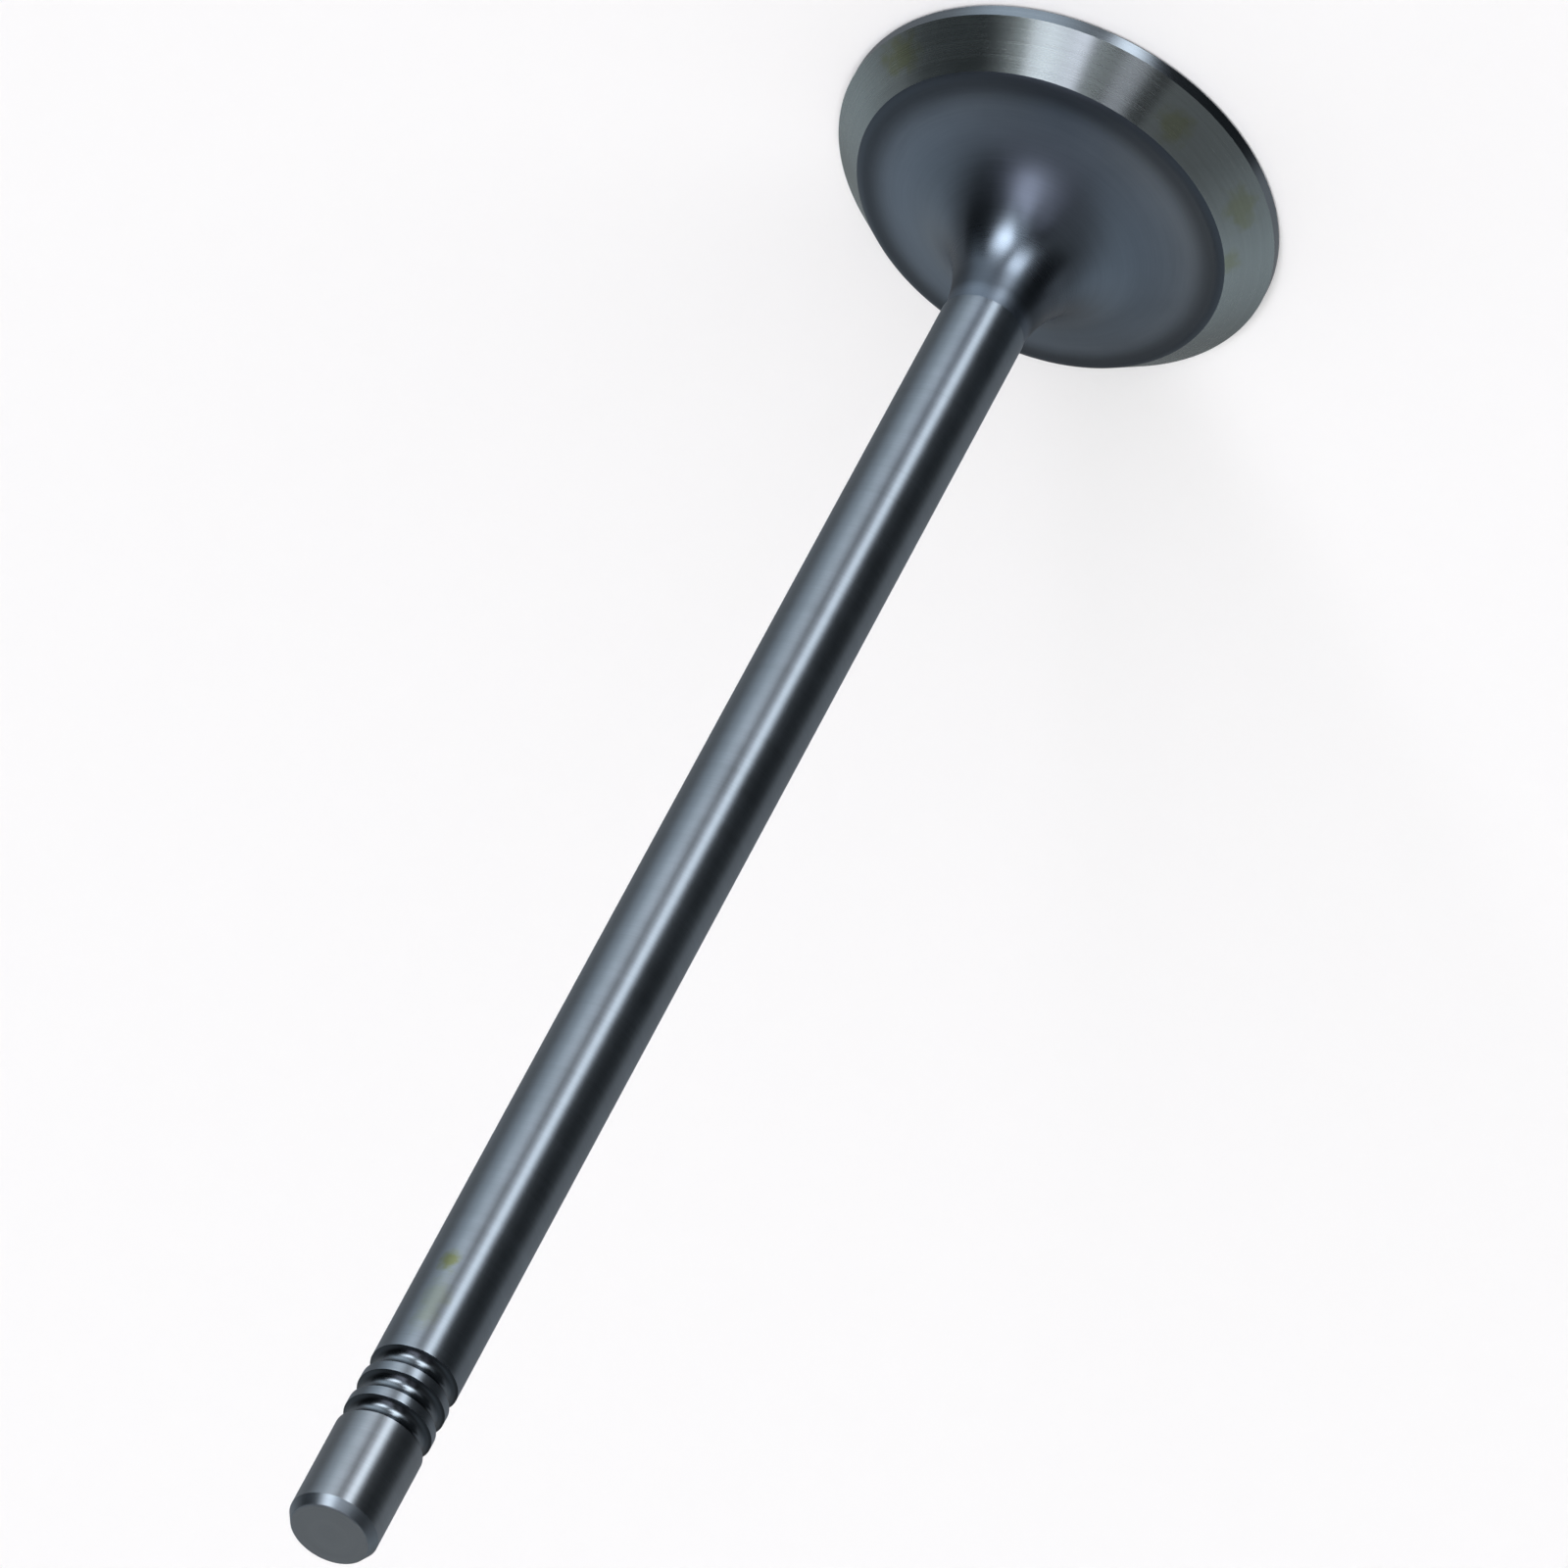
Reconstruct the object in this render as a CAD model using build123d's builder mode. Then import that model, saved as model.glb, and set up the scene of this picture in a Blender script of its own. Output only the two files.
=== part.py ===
from build123d import *
import math
import os

# Engine valve, turned and ground from one piece of steel. Millimetres.
# The origin is the centre of the combustion face, and +Z runs along the stem to the tip.

# Head
head_diameter = 42.0
face_edge_chamfer = 0.3  # broken edge between the combustion face and the margin
margin_height = 1.5  # plain band round the rim, from the combustion face to the seat
seat_width = 3.3  # ground seat, measured along the radius
seat_angle = 50.0  # degrees, from the plane of the combustion face
lip_angle = 38.0  # degrees, where the underhead leaves the seat's sharp inner edge
lip_radius = 2.0  # roll of the underhead just inside that edge
underhead_angle = 12.0  # degrees, rise of the underhead towards the stem
underhead_land = 0.3  # least straight cone between the lip and the trumpet curve

# Neck and stem
stem_diameter = 8.0
overall_length = 171.0
neck_relief = 0.1  # how far the unground neck lies below the ground stem
neck_fillet_radius = 14.0  # trumpet curve between the underhead and the neck
shoulder_length = 0.1  # bevel where the ground stem begins

# Keeper grooves, counted from the tip
groove_count = 3
groove_radius = 1.0  # of the round cutter
groove_depth = 0.7
groove_pitch = 2.9
groove_to_tip = 11.6  # from the tip face to the centre of the nearest groove
groove_edge_break = 0.06  # bevel at 45 degrees on each groove edge, off the radius

# Tip
tip_bevel_length = 1.0  # along the stem
tip_bevel_depth = 0.5  # off the radius
tip_edge_radius = 0.2

# Places that follow from the sizes above
head_radius = head_diameter / 2
stem_radius = stem_diameter / 2
neck_radius = stem_radius - neck_relief
seat_rise = seat_width * math.tan(math.radians(seat_angle))
seat_inner = Vector(head_radius - seat_width, margin_height + seat_rise)
lip_slope = math.radians(lip_angle)
underhead_slope = math.radians(underhead_angle)
lip_inner = seat_inner + Vector(
    -lip_radius * (math.sin(lip_slope) - math.sin(underhead_slope)),
    lip_radius * (math.cos(underhead_slope) - math.cos(lip_slope)),
)

# The trumpet curve is an arc that touches the underhead cone and the neck. It stays inside the lip,
# so a small head takes a smaller arc.
trumpet_reach = 1 - math.sin(underhead_slope)  # arc's run along the head for each mm of its radius
trumpet_room = lip_inner.X - underhead_land - neck_radius
trumpet_radius = min(neck_fillet_radius, trumpet_room / trumpet_reach)
trumpet_start = Vector(neck_radius + trumpet_radius * trumpet_reach, 0)
trumpet_start.Y = lip_inner.Y + (lip_inner.X - trumpet_start.X) * math.tan(underhead_slope)
trumpet_end = Vector(neck_radius, trumpet_start.Y + trumpet_radius * math.cos(underhead_slope))
ground_start = trumpet_end.Y + shoulder_length


with BuildPart() as valve:
    # Half section on the plane through the axis: X is the radius and Y the height above the face
    with BuildSketch(Plane.XZ):
        with BuildLine():
            Polyline(
                (0, 0),
                (head_radius - face_edge_chamfer, 0),
                (head_radius, face_edge_chamfer),
                (head_radius, margin_height),
                seat_inner,
            )
            JernArc(
                start=seat_inner,
                tangent=(-math.cos(lip_slope), math.sin(lip_slope)),
                radius=lip_radius,
                arc_size=lip_angle - underhead_angle,
            )
            Line(lip_inner, trumpet_start)
            JernArc(
                start=trumpet_start,
                tangent=(-math.cos(underhead_slope), math.sin(underhead_slope)),
                radius=trumpet_radius,
                arc_size=underhead_angle - 90,
            )
            Polyline(
                trumpet_end,
                (stem_radius, ground_start),
                (stem_radius, overall_length - tip_bevel_length),
                (stem_radius - tip_bevel_depth, overall_length),
                (0, overall_length),
                (0, 0),
            )
        make_face()
    revolve(axis=Axis.Z)

    # Round keeper grooves, each turned by a cutter whose centre stands outside the stem. A cone that
    # widens towards the stem's surface breaks the edges of each groove.
    cutter_radius_from_axis = stem_radius - groove_depth + groove_radius
    cone_offset = groove_radius - groove_depth + groove_edge_break
    cone_half_width = math.sqrt(groove_radius**2 - cone_offset**2)
    mouth_half_width = cone_half_width + 2 * groove_edge_break
    groove_heights = [
        overall_length - groove_to_tip - index * groove_pitch for index in range(groove_count)
    ]
    with BuildSketch(Plane.XZ):
        with Locations(*[(cutter_radius_from_axis, height) for height in groove_heights]):
            Circle(groove_radius)
        with Locations(*[(stem_radius, height) for height in groove_heights]):
            Polygon(
                (-groove_edge_break, -cone_half_width),
                (groove_edge_break, -mouth_half_width),
                (groove_edge_break, mouth_half_width),
                (-groove_edge_break, cone_half_width),
                align=None,
            )
    revolve(axis=Axis.Z, mode=Mode.SUBTRACT)

    # The full circle round the tip face is broken
    fillet(valve.edges().filter_by(lambda edge: edge.is_closed).sort_by(Axis.Z)[-1], radius=tip_edge_radius)

valve.part.label = "valve"

os.makedirs("parts", exist_ok=True)
export_step(valve.part, "parts/valve.step")

ground_end = min(groove_heights) - cone_half_width - groove_edge_break
print(f"ground stem from {ground_start:.3f} to {ground_end:.3f} mm")
print(f"seat from radius {seat_inner.X:.3f} at height {seat_inner.Y:.3f} mm")
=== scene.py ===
import math

import bpy
from mathutils import Matrix, Vector


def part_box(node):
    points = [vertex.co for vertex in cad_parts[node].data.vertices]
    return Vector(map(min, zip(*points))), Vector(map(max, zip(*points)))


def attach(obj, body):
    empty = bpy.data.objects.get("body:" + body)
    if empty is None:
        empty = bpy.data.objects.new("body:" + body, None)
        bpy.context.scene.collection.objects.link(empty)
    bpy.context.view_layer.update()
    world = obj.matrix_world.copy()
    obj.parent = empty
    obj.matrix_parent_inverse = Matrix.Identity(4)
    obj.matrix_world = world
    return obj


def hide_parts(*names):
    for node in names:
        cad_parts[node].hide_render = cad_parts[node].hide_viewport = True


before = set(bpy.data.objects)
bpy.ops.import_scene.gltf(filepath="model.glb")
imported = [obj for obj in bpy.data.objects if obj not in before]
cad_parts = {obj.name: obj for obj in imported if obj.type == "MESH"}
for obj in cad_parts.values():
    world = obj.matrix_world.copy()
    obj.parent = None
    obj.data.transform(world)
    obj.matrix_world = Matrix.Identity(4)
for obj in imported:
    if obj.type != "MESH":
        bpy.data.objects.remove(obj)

# An engine valve that stands on its head. Sizes are in millimetres until a mesh is made, and angles
# are in degrees. Azimuth 0 is the camera's side (-Y), and positive azimuths turn towards +X.

MM = 0.001
DEGREES = 180 / math.pi
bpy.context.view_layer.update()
NODE_LOW, NODE_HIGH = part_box("valve")

# Head
HEAD_RADIUS = NODE_HIGH[0] / MM
FACE_EDGE_CHAMFER = 0.3
MARGIN_HEIGHT = 1.5
SEAT_WIDTH = 3.3
SEAT_ANGLE = 50.0
LIP_ANGLE = 38.0
LIP_RADIUS = 2.0
UNDERHEAD_ANGLE = 12.0

# Neck and stem
STEM_RADIUS = 4.0
OVERALL_LENGTH = NODE_HIGH[2] / MM
NECK_RELIEF = 0.1
NECK_RADIUS = STEM_RADIUS - NECK_RELIEF
TRUMPET_RADIUS = 14.0
SHOULDER_LENGTH = 0.1

# Keeper grooves and tip
GROOVE_COUNT = 3
GROOVE_RADIUS = 1.0
GROOVE_DEPTH = 0.7
GROOVE_PITCH = 2.9
GROOVE_TO_TIP = 11.6
GROOVE_EDGE_RADIUS = 0.06
TIP_BEVEL_LENGTH = 1.0
TIP_BEVEL_DEPTH = 0.5
TIP_EDGE_RADIUS = 0.2

# Mesh: steps round the axis and along each round run
LATHE_STEPS = 288
LIP_STEPS = 10
TRUMPET_STEPS = 72
GROOVE_STEPS = 22
GROOVE_EDGE_STEPS = 4
TIP_EDGE_STEPS = 6
SUPPORT = 0.04  # a ring this far from each end of a straight run keeps its shading flat
SHARP_TURN = 9.0  # least turn between two faces that shows as an edge
SAME_PLACE = 1e-7

# Camera
CAMERA_PLACE = (0.0, -0.99303, 0.89022)  # metres
CAMERA_TILT = 50.69  # from straight down
CAMERA_PAN = 0.214
CAMERA_ROLL = 208.28
CAMERA_LENS = 339.3  # millimetres, as the sensor
CAMERA_SENSOR = 36.0


def line(start, end):
    """A straight run of the profile, with a supporting point near each end."""
    (r0, z0), (r1, z1) = start, end
    length = math.hypot(r1 - r0, z1 - z0)
    shares = [0.0, 1.0]
    if length > 4 * SUPPORT:
        shares = [0.0, SUPPORT / length, 1 - SUPPORT / length, 1.0]
    return [(r0 + (r1 - r0) * s, z0 + (z1 - z0) * s) for s in shares]


def arc(start, heading, radius, turn, steps):
    """A round run that leaves start in the heading's direction and turns left where turn is positive."""
    side = math.copysign(90.0, turn)
    to_centre = math.radians(heading + side)
    centre = (start[0] + radius * math.cos(to_centre), start[1] + radius * math.sin(to_centre))
    points = []
    for step in range(steps + 1):
        out = math.radians(heading - side + turn * step / steps)
        points.append((centre[0] + radius * math.cos(out), centre[1] + radius * math.sin(out)))
    return points


def head_runs():
    """From the centre of the combustion face to the start of the ground stem."""
    chamfer_start = (HEAD_RADIUS - FACE_EDGE_CHAMFER, 0.0)
    chamfer_end = (HEAD_RADIUS, FACE_EDGE_CHAMFER)
    margin_end = (HEAD_RADIUS, MARGIN_HEIGHT)
    seat_rise = SEAT_WIDTH * math.tan(math.radians(SEAT_ANGLE))
    seat_end = (HEAD_RADIUS - SEAT_WIDTH, MARGIN_HEIGHT + seat_rise)
    lip = arc(seat_end, 180 - LIP_ANGLE, LIP_RADIUS, LIP_ANGLE - UNDERHEAD_ANGLE, LIP_STEPS)

    slope = math.radians(UNDERHEAD_ANGLE)
    trumpet_start_radius = NECK_RADIUS + TRUMPET_RADIUS * (1 - math.sin(slope))
    trumpet_start = (
        trumpet_start_radius,
        lip[-1][1] + (lip[-1][0] - trumpet_start_radius) * math.tan(slope),
    )
    trumpet = arc(
        trumpet_start, 180 - UNDERHEAD_ANGLE, TRUMPET_RADIUS, UNDERHEAD_ANGLE - 90, TRUMPET_STEPS,
    )
    ground_start = (STEM_RADIUS, trumpet[-1][1] + SHOULDER_LENGTH)

    return [
        ("face", [(0.0, 0.0), *line((HEAD_RADIUS / 2, 0.0), chamfer_start)]),
        ("face", line(chamfer_start, chamfer_end)),
        ("margin", line(chamfer_end, margin_end)),
        ("seat", line(margin_end, seat_end)),
        ("underhead", lip),
        ("underhead", line(lip[-1], trumpet_start)),
        ("underhead", trumpet),
        ("underhead", [trumpet[-1], ground_start]),
    ]


def groove_runs(here):
    """The ground stem and its grooves. Each is a broken edge, a round cut and another broken edge."""
    runs = []
    cutter_out = STEM_RADIUS - GROOVE_DEPTH + GROOVE_RADIUS
    reach = GROOVE_RADIUS + GROOVE_EDGE_RADIUS
    wall = math.acos((cutter_out - STEM_RADIUS + GROOVE_EDGE_RADIUS) / reach)
    half_width = reach * math.sin(wall)
    wall = math.degrees(wall)
    for index in reversed(range(GROOVE_COUNT)):
        middle = OVERALL_LENGTH - GROOVE_TO_TIP - index * GROOVE_PITCH
        edge = (STEM_RADIUS, middle - half_width)
        runs.append(("stem", line(here, edge)))
        first = arc(edge, 90, GROOVE_EDGE_RADIUS, wall, GROOVE_EDGE_STEPS)
        cut = arc(first[-1], 90 + wall, GROOVE_RADIUS, -2 * wall, GROOVE_STEPS)
        last = arc(cut[-1], 90 - wall, GROOVE_EDGE_RADIUS, wall, GROOVE_EDGE_STEPS)
        runs += [("groove", first), ("groove", cut), ("groove", last)]
        here = last[-1]
    return runs


def tip_runs(here):
    """The end land, the bevel and the tip face."""
    bevel_start = (STEM_RADIUS, OVERALL_LENGTH - TIP_BEVEL_LENGTH)
    bevel_heading = math.degrees(math.atan2(TIP_BEVEL_LENGTH, -TIP_BEVEL_DEPTH))
    rounding = 180 - bevel_heading
    cut_back = TIP_EDGE_RADIUS * math.tan(math.radians(rounding / 2))
    along = math.radians(bevel_heading)
    bevel_end = (
        STEM_RADIUS - TIP_BEVEL_DEPTH - cut_back * math.cos(along),
        OVERALL_LENGTH - cut_back * math.sin(along),
    )
    tip_edge = arc(bevel_end, bevel_heading, TIP_EDGE_RADIUS, rounding, TIP_EDGE_STEPS)
    return [
        ("end land", line(here, bevel_start)),
        ("bevel", line(bevel_start, bevel_end)),
        ("tip", tip_edge),
        ("tip", [*line(tip_edge[-1], (STEM_RADIUS / 4, OVERALL_LENGTH)), (0.0, OVERALL_LENGTH)]),
    ]


def profile():
    """The half section as a list of (zone, points), from the face's centre round to the tip's."""
    runs = head_runs()
    runs += groove_runs(runs[-1][1][-1])
    runs += tip_runs(runs[-1][1][-1])
    return runs


def lathe(name, runs, materials):
    """Turns the profile into one closed mesh, with a material for each zone."""
    points, zones = [], []
    for zone, run in runs:
        if not points:
            points.append(run[0])
        for point in run[1:]:
            if math.dist(point, points[-1]) > SAME_PLACE:
                points.append(point)
                zones.append(zone)

    slots = {zone: index for index, zone in enumerate(materials)}
    vertices, rings = [], []
    for radius, height in points:
        on_axis = radius < SAME_PLACE
        count = 1 if on_axis else LATHE_STEPS
        rings.append([len(vertices) + step for step in range(count)])
        for step in range(count):
            turn = 2 * math.pi * step / LATHE_STEPS
            vertices.append((radius * math.cos(turn) * MM, radius * math.sin(turn) * MM, height * MM))

    faces, face_slots = [], []
    for index, zone in enumerate(zones):
        low, high = rings[index], rings[index + 1]
        for step in range(LATHE_STEPS):
            after = (step + 1) % LATHE_STEPS
            if len(low) == 1:
                faces.append((low[0], high[after], high[step]))
            elif len(high) == 1:
                faces.append((low[step], low[after], high[0]))
            else:
                faces.append((low[step], low[after], high[after], high[step]))
            face_slots.append(slots[zone])

    mesh = bpy.data.meshes.new(name)
    mesh.from_pydata(vertices, [], faces)
    for material in materials.values():
        mesh.materials.append(material)
    mesh.polygons.foreach_set("material_index", face_slots)
    mesh.polygons.foreach_set("use_smooth", [True] * len(faces))
    mesh.update()
    mesh.validate()
    mesh.set_sharp_from_angle(angle=math.radians(SHARP_TURN))
    piece = bpy.data.objects.new(name, mesh)
    bpy.context.scene.collection.objects.link(piece)
    return piece


class Graph:
    """A short way to write shader nodes."""

    def __init__(self, tree):
        self.tree = tree
        tree.nodes.clear()

    def node(self, kind, inputs=(), **settings):
        made = self.tree.nodes.new(kind)
        for key, value in settings.items():
            setattr(made, key, value)
        for key, value in dict(inputs).items():
            self.feed(made.inputs[key], value)
        return made

    def feed(self, socket, value):
        if isinstance(value, bpy.types.NodeSocket):
            self.tree.links.new(value, socket)
        else:
            socket.default_value = value

    def math(self, operation, *values, clamp=False):
        made = self.node("ShaderNodeMath", operation=operation, use_clamp=clamp)
        for socket, value in zip(made.inputs, values):
            self.feed(socket, value)
        return made.outputs[0]

    def azimuth(self, x, y):
        """Degrees from -Y towards +X."""
        return self.math("MULTIPLY", self.math("ARCTAN2", x, self.math("MULTIPLY", y, -1.0)), DEGREES)

    def vector(self, x, y, z):
        return self.node("ShaderNodeCombineXYZ", {"X": x, "Y": y, "Z": z}).outputs[0]

    def noise(self, vector, scale, detail=2.0, roughness=0.5):
        made = self.node(
            "ShaderNodeTexNoise",
            {"Vector": vector, "Scale": scale, "Detail": detail, "Roughness": roughness},
        )
        return made.outputs["Fac"]

    def remap(self, value, low, high, to_low=0.0, to_high=1.0, smooth=False):
        kind = "SMOOTHSTEP" if smooth else "LINEAR"
        made = self.node("ShaderNodeMapRange", interpolation_type=kind)
        for socket, number in zip(made.inputs, (value, low, high, to_low, to_high)):
            self.feed(socket, number)
        return made.outputs[0]

    def spread(self, noise, amount, middle=0.0):
        """A noise as a number that runs from the middle less the amount to the middle plus the amount."""
        return self.remap(noise, 0.3, 0.7, middle - amount, middle + amount)

    def mix(self, share, first, second, blend="MIX"):
        made = self.node("ShaderNodeMix", data_type="RGBA", blend_type=blend)
        colours = [socket for socket in made.inputs if socket.type == "RGBA"]
        self.feed(made.inputs[0], share)
        self.feed(colours[0], first)
        self.feed(colours[1], second)
        return next(socket for socket in made.outputs if socket.type == "RGBA")


def scaled(colour, brightness=1.0):
    """An opaque colour at this brightness."""
    return (*(channel * brightness for channel in colour), 1.0)


# Changes a metre of the noises that shade the steel
FINE_MARKS = 5200.0
BROAD_MARKS = 900.0
CLOUDS = 160.0
STAIN_EDGES = 900.0

MARK_RELIEF = 2.0  # depth of the broad marks against the fine ones

# How far those noises move the tone, the roughness and a stain's edge
FINE_TONE = 0.04
BROAD_TONE = 0.03
CLOUD_TONE = 0.05
FINE_ROUGHNESS = 0.02
CLOUD_ROUGHNESS = 0.025
STAIN_WOBBLE = 0.25

# A stain fades between these shares of its size
STAIN_CORE = 0.25
STAIN_RIM = 1.05

# Painted shade starts on a wall and covers it fully where the wall's normal leans this far towards the
# tip
WALL_SHADE_START = 0.15
WALL_SHADE_FULL = 0.7

# Steel tints of luminance 1
GROUND_TINT = (0.867, 1.02, 1.193)
SEAT_TINT = (0.893, 1.03, 1.07)
FORGED_TINT = (0.835, 1.02, 1.27)
TIP_TINT = (0.895, 1.02, 1.16)
STAIN = (0.75, 0.72, 0.28)


def machining_marks(g, x, y, across, changes):
    """Fine and broad marks that run round the axis: slow round it and quick along the profile."""
    fine = g.noise(
        g.vector(g.math("MULTIPLY", x, changes), g.math("MULTIPLY", y, changes),
                 g.math("MULTIPLY", across, FINE_MARKS)),
        1.0, detail=3.0, roughness=0.6,
    )
    broad = g.noise(
        g.vector(g.math("MULTIPLY", x, changes * 0.5), g.math("MULTIPLY", y, changes * 0.5),
                 g.math("MULTIPLY", across, BROAD_MARKS)),
        1.0, detail=2.0,
    )
    return fine, broad


def along_radius(g, value, radius, changes):
    """The value times a factor for each change: 1 at its inner radius and all of it at its outer one."""
    for inner, outer, factor in changes:
        share = g.remap(radius, inner * MM, outer * MM, 1.0, factor, smooth=True)
        value = g.math("MULTIPLY", value, share)
    return value


def stained(g, colour, place, z, azimuth, stains):
    """The colour with small stains that have uneven edges."""
    wobble = g.spread(g.noise(place, STAIN_EDGES, detail=3.0), STAIN_WOBBLE)
    for height, at, length, half_width, strength in stains:
        off_height = g.math("DIVIDE", g.math("SUBTRACT", z, height * MM), length * MM / 2)
        turn = g.math("WRAP", g.math("SUBTRACT", azimuth, at), 180.0, -180.0)
        off_turn = g.math("DIVIDE", turn, half_width)
        away = g.math("SQRT", g.math("ADD", g.math("MULTIPLY", off_height, off_height),
                                     g.math("MULTIPLY", off_turn, off_turn)))
        share = g.remap(g.math("ADD", away, wobble), STAIN_CORE, STAIN_RIM, strength, 0.0, smooth=True)
        colour = g.mix(share, colour, scaled(STAIN), blend="MULTIPLY")
    return colour


def steel(name, tone, roughness, anisotropy=0.0, mark_depth=0.0, mark_changes=60.0,
          tint=GROUND_TINT, painted_shading=(), roughnesses=(), stains=(), painted_wall_shade=0.0):
    """Bare steel with fine circular machining marks, cloudy tone and small stains.

    mark_depth is in millimetres, and mark_changes says how often a mark changes in a metre of its run.
    Painted light and shade on the tone, and the roughnesses, change along the radius: (inner mm, outer
    mm, factor at the outer radius).
    stains lie on a turned surface: (height mm, azimuth, length mm, half width degrees, strength).
    The last argument is painted shade: it darkens the walls that face the tip, as shade in the grooves'
    hollows.
    """
    material = bpy.data.materials.new(name)
    material.use_nodes = True
    g = Graph(material.node_tree)
    coordinates = g.node("ShaderNodeTexCoord").outputs
    place = coordinates["Object"]
    parts = g.node("ShaderNodeSeparateXYZ", {"Vector": place}).outputs
    x, y, z = parts[0], parts[1], parts[2]
    radius = g.math("SQRT", g.math("ADD", g.math("MULTIPLY", x, x), g.math("MULTIPLY", y, y)))
    across = g.math("SUBTRACT", z, radius)
    fine, broad = machining_marks(g, x, y, across, mark_changes)
    clouds = g.noise(place, CLOUDS, detail=4.0, roughness=0.55)

    shade = g.math("ADD", g.spread(clouds, CLOUD_TONE), g.spread(fine, FINE_TONE))
    shade = g.math("ADD", shade, g.spread(broad, BROAD_TONE, middle=1.0))
    shade = g.math("MULTIPLY", shade, tone)
    # Painted light and shade along the radius, where given.
    shade = along_radius(g, shade, radius, painted_shading)
    # Painted shade: the walls that face the tip are darkened, as shade in the grooves' hollows.
    if painted_wall_shade:
        faces_tip = g.node("ShaderNodeSeparateXYZ", {"Vector": coordinates["Normal"]}).outputs[2]
        unshaded_share = g.remap(faces_tip, WALL_SHADE_START, WALL_SHADE_FULL, 1.0, 1 - painted_wall_shade, smooth=True)
        shade = g.math("MULTIPLY", shade, unshaded_share)
    colour = g.node("ShaderNodeVectorMath", operation="SCALE")
    g.feed(colour.inputs[0], tint)
    g.feed(colour.inputs["Scale"], shade)
    base = colour.outputs[0]
    if stains:
        base = stained(g, base, place, z, g.azimuth(x, y), stains)

    rough = g.spread(clouds, CLOUD_ROUGHNESS, middle=roughness)
    rough = g.math("ADD", rough, g.spread(fine, FINE_ROUGHNESS))
    rough = along_radius(g, rough, radius, roughnesses)
    relief = g.math("ADD", fine, g.math("MULTIPLY", broad, MARK_RELIEF))
    bump = g.node("ShaderNodeBump", {"Strength": 1.0, "Distance": mark_depth * MM, "Height": relief})
    tangent = g.node("ShaderNodeTangent", direction_type="RADIAL", axis="Z")
    shader = g.node("ShaderNodeBsdfPrincipled", {
        "Base Color": base,
        "Metallic": 1.0,
        "Roughness": rough,
        "Anisotropic": anisotropy,
        "Anisotropic Rotation": 0.25,
        "Normal": bump.outputs[0],
        "Tangent": tangent.outputs[0],
    })
    g.node("ShaderNodeOutputMaterial", {"Surface": shader.outputs[0]})
    return material


STEM_STAINS = (
    (142.5, 31, 3.2, 15, 0.9),
    (147.5, 24, 9.0, 22, 0.35),
)
SEAT_STAINS = (
    (3.0, 66, 3.4, 10, 0.6),
    (3.8, -20, 3.0, 7, 0.5),
    (3.4, -52, 3.0, 9, 0.45),
    (5.0, -68, 2.0, 6, 0.4),
)

# Painted light and shade on the underhead: tone factors along the radius that stand in for its
# reflections, as (inner mm, outer mm, factor at the outer radius).
UNDERHEAD_PAINTED_SHADING = (
    (3.9, 4.06, 0.5),  # painted shade just above the shoulder
    (4.2, 4.6, 1.17),  # painted highlight on the neck
    (5.3, 6.0, 0.85),  # plain forged steel again, after the painted highlight
    (10.0, 13.2, 1.3),  # painted light, lighter towards the rim
    (14.2, 16.7, 0.41),  # painted shade on the lip
)
UNDERHEAD_ROUGHNESSES = (
    (3.95, 4.7, 0.65),  # smooth neck
    (5.5, 8.5, 1.33),  # rougher trumpet
    (9.5, 12.5, 1.25),  # roughest near the rim
)

materials = {
    "face": steel("valve_face", tone=0.22, roughness=0.45, anisotropy=0.5, mark_depth=0.0004),
    "margin": steel(
        "valve_margin", tone=0.49, roughness=0.22, anisotropy=0.8, mark_depth=0.0001, mark_changes=30.0,
    ),
    "seat": steel(
        "valve_seat", tone=0.38, roughness=0.26, anisotropy=0.96, mark_depth=0.0001, mark_changes=30.0,
        tint=SEAT_TINT, stains=SEAT_STAINS,
    ),
    # The underhead's tone carries painted light and shade along its radius.
    "underhead": steel(
        "valve_underhead", tone=0.39, roughness=0.42, mark_depth=0.0002, mark_changes=200.0,
        tint=FORGED_TINT, painted_shading=UNDERHEAD_PAINTED_SHADING, roughnesses=UNDERHEAD_ROUGHNESSES,
    ),
    "stem": steel(
        "valve_stem", tone=0.45, roughness=0.34, anisotropy=0.91, mark_depth=0.0002, stains=STEM_STAINS,
    ),
    "end land": steel(
        "valve_end_land", tone=0.50, roughness=0.34, anisotropy=0.91, mark_depth=0.0002, tint=TIP_TINT,
    ),
    # The groove walls that face the tip get painted shade.
    "groove": steel(
        "valve_groove", tone=0.37, roughness=0.25, anisotropy=0.4, mark_depth=0.0001, painted_wall_shade=0.85,
    ),
    "bevel": steel("valve_bevel", tone=0.33, roughness=0.37, anisotropy=0.28, mark_depth=0.0001),
    "tip": steel("valve_tip", tone=0.30, roughness=0.55, mark_depth=0.0003, tint=TIP_TINT),
}
valve = lathe("valve_turned", profile(), materials)
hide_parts("valve")
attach(valve, "root")


PAPER_COLOUR = (0.95, 0.945, 0.945)
FLOOR_RADIUS = 2.4
FLOOR_SWEEP = 0.8  # radius of the curve between the floor and the wall
WALL_TOP = 1.6
FLOOR_STEPS = 96


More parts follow.
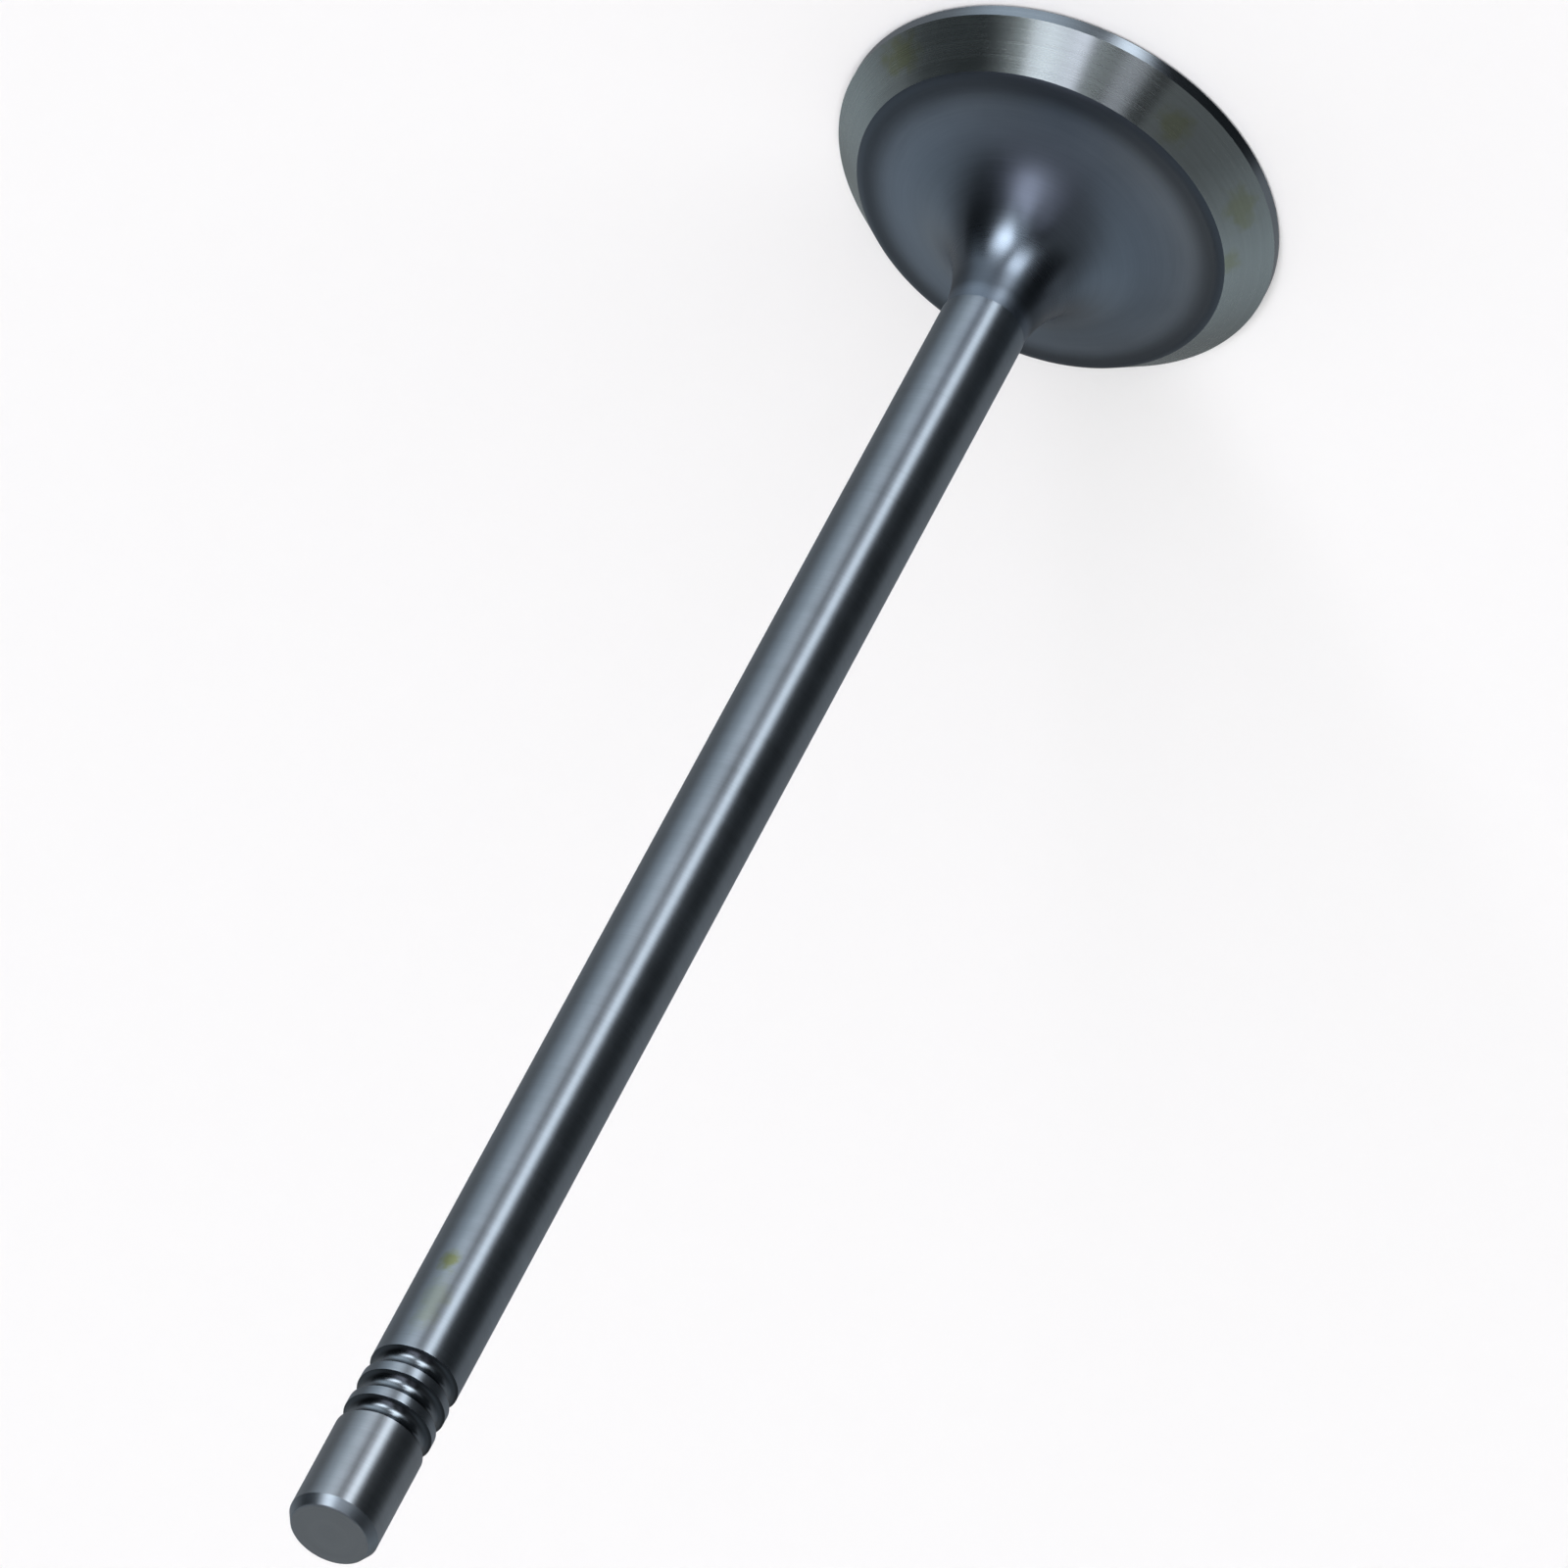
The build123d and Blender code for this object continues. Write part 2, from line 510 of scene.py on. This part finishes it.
def backdrop():
    """A pale floor that curves up into a wall all round, far from the valve."""
    outline = arc((FLOOR_RADIUS, 0.0), 0, FLOOR_SWEEP, 90, 12)
    outline.append((FLOOR_RADIUS + FLOOR_SWEEP, WALL_TOP))
    vertices = [(0.0, 0.0, 0.0)]
    for radius, height in outline:
        for step in range(FLOOR_STEPS):
            turn = 2 * math.pi * step / FLOOR_STEPS
            vertices.append((radius * math.cos(turn), radius * math.sin(turn), height))
    faces = [(0, 1 + step, 1 + (step + 1) % FLOOR_STEPS) for step in range(FLOOR_STEPS)]
    for ring in range(len(outline) - 1):
        low, high = 1 + ring * FLOOR_STEPS, 1 + (ring + 1) * FLOOR_STEPS
        for step in range(FLOOR_STEPS):
            after = (step + 1) % FLOOR_STEPS
            faces.append((low + step, high + step, high + after, low + after))
    mesh = bpy.data.meshes.new("backdrop")
    mesh.from_pydata(vertices, [], faces)
    mesh.polygons.foreach_set("use_smooth", [True] * len(faces))
    floor = bpy.data.objects.new("backdrop", mesh)
    bpy.context.scene.collection.objects.link(floor)
    paper = bpy.data.materials.new("paper")
    paper.use_nodes = True
    g = Graph(paper.node_tree)
    shader = g.node("ShaderNodeBsdfDiffuse", {"Color": scaled(PAPER_COLOUR)})
    g.node("ShaderNodeOutputMaterial", {"Surface": shader.outputs[0]})
    mesh.materials.append(paper)
    floor.visible_glossy = False


backdrop()

# Light colours of luminance 1
WHITE_LIGHT = (1.0, 1.0, 1.0)
WARM_LIGHT = (1.10, 0.98, 0.82)
COOL_LIGHT = (0.94, 1.01, 1.05)
LAVENDER_LIGHT = (1.04, 0.98, 1.08)

# The studio round the valve. Each panel has the azimuth where its middle line crosses the horizon, the
# elevation of its middle, its half width and half height, its lean (degrees of azimuth for each degree
# of elevation), the softness of its edges, its brightness and its colour. Later panels lie over
# earlier ones.
STUDIO_BRIGHTNESS = 0.2
PANELS = {
    "rear lamp": (135, 50, 5, 12, 1.2, 2, 2.9, WARM_LIGHT),
    "rear left wall": (155, 20, 25, 35, -0.5, 15, 0.55, COOL_LIGHT),
    "rear right wall": (-135, 60, 25, 65, 0.8, 15, 0.55, COOL_LIGHT),
    "right gap": (-55, -30, 20, 50, 0.3, 10, 0.02, COOL_LIGHT),
    "low right gap": (-50, -40, 50, 25, -0.3, 5, 0.015, COOL_LIGHT),
    "left gap": (75, 20, 35, 35, -0.3, 2, 0.03, COOL_LIGHT),
    "low left glow": (75, -30, 25, 15, 0.5, 15, 0.85, COOL_LIGHT),
    "middle gap": (-5, 15, 15, 80, -0.1, 2, 0.01, COOL_LIGHT),
    "upper left window": (30, 45, 15, 15, 0.1, 2, 2.8, LAVENDER_LIGHT),
    "left window": (45, 10, 15, 10, -0.8, 10, 6.2, WHITE_LIGHT),
    "window frame": (5, 25, 10, 15, 0.9, 3, 0.5, COOL_LIGHT),
    "right window": (-10, -20, 8, 25, -0.3, 7, 2.5, WHITE_LIGHT),
    "wide right pane": (0, -5, 12, 10, -0.4, 4, 3.7, WHITE_LIGHT),
    "small upper window": (-5, 50, 7, 20, 0.0, 3, 0.7, LAVENDER_LIGHT),
    "floor glow": (30, -75, 35, 10, -0.3, 3, 1.15, WARM_LIGHT),
}


def studio():
    """Plain grey surroundings with tall bright windows and dark gaps, at no set distance."""
    world = bpy.data.worlds.new("studio")
    bpy.context.scene.world = world
    world.use_nodes = True
    g = Graph(world.node_tree)
    towards = g.node("ShaderNodeTexCoord").outputs["Generated"]
    parts = g.node("ShaderNodeSeparateXYZ", {"Vector": towards}).outputs
    azimuth = g.azimuth(parts[0], parts[1])
    elevation = g.math("MULTIPLY", g.math("ARCSINE", parts[2]), DEGREES)
    colour = scaled(WHITE_LIGHT, STUDIO_BRIGHTNESS)
    for at, height, half_width, half_height, lean, soft, brightness, light in PANELS.values():
        leaning = g.math("SUBTRACT", azimuth, g.math("MULTIPLY_ADD", elevation, lean, at))
        off_turn = g.math("ABSOLUTE", g.math("WRAP", leaning, 180.0, -180.0))
        off_height = g.math("ABSOLUTE", g.math("SUBTRACT", elevation, height))
        share = g.math(
            "MULTIPLY",
            g.remap(off_turn, half_width - soft, half_width + soft, 1.0, 0.0, smooth=True),
            g.remap(off_height, half_height - soft, half_height + soft, 1.0, 0.0, smooth=True),
        )
        colour = g.mix(share, colour, scaled(light, brightness))
    background = g.node("ShaderNodeBackground", {"Color": colour, "Strength": 1.0})
    g.node("ShaderNodeOutputWorld", {"Surface": background.outputs[0]})


studio()


KEY_STRENGTH = 1.97
KEY_SPREAD = 50.0
KEY_TILT = 30.0  # from straight down, towards the camera's side


def soft_key():
    """One wide soft light above the camera's side, for the floor's brightness and a faint shadow."""
    key = bpy.data.lights.new("soft_key", "SUN")
    key.energy = KEY_STRENGTH
    key.angle = math.radians(KEY_SPREAD)
    lamp = bpy.data.objects.new("soft_key", key)
    lamp.rotation_euler = (math.radians(KEY_TILT), 0.0, 0.0)
    lamp.visible_glossy = False
    bpy.context.scene.collection.objects.link(lamp)


soft_key()


def photo_camera():
    """The photograph's view: from above the tip, with the stem running to the lower left."""
    data = bpy.data.cameras.new("photo_camera")
    data.lens = CAMERA_LENS
    data.sensor_width = CAMERA_SENSOR
    data.sensor_fit = "HORIZONTAL"
    data.clip_start, data.clip_end = 0.01, 20.0
    camera = bpy.data.objects.new("photo_camera", data)
    camera.matrix_world = (
        Matrix.Translation(CAMERA_PLACE)
        @ Matrix.Rotation(math.radians(CAMERA_PAN), 4, "Z")
        @ Matrix.Rotation(math.radians(CAMERA_TILT), 4, "X")
        @ Matrix.Rotation(math.radians(CAMERA_ROLL), 4, "Z")
    )
    bpy.context.scene.collection.objects.link(camera)
    bpy.context.scene.camera = camera


photo_camera()
bpy.context.scene.view_settings.view_transform = "Standard"
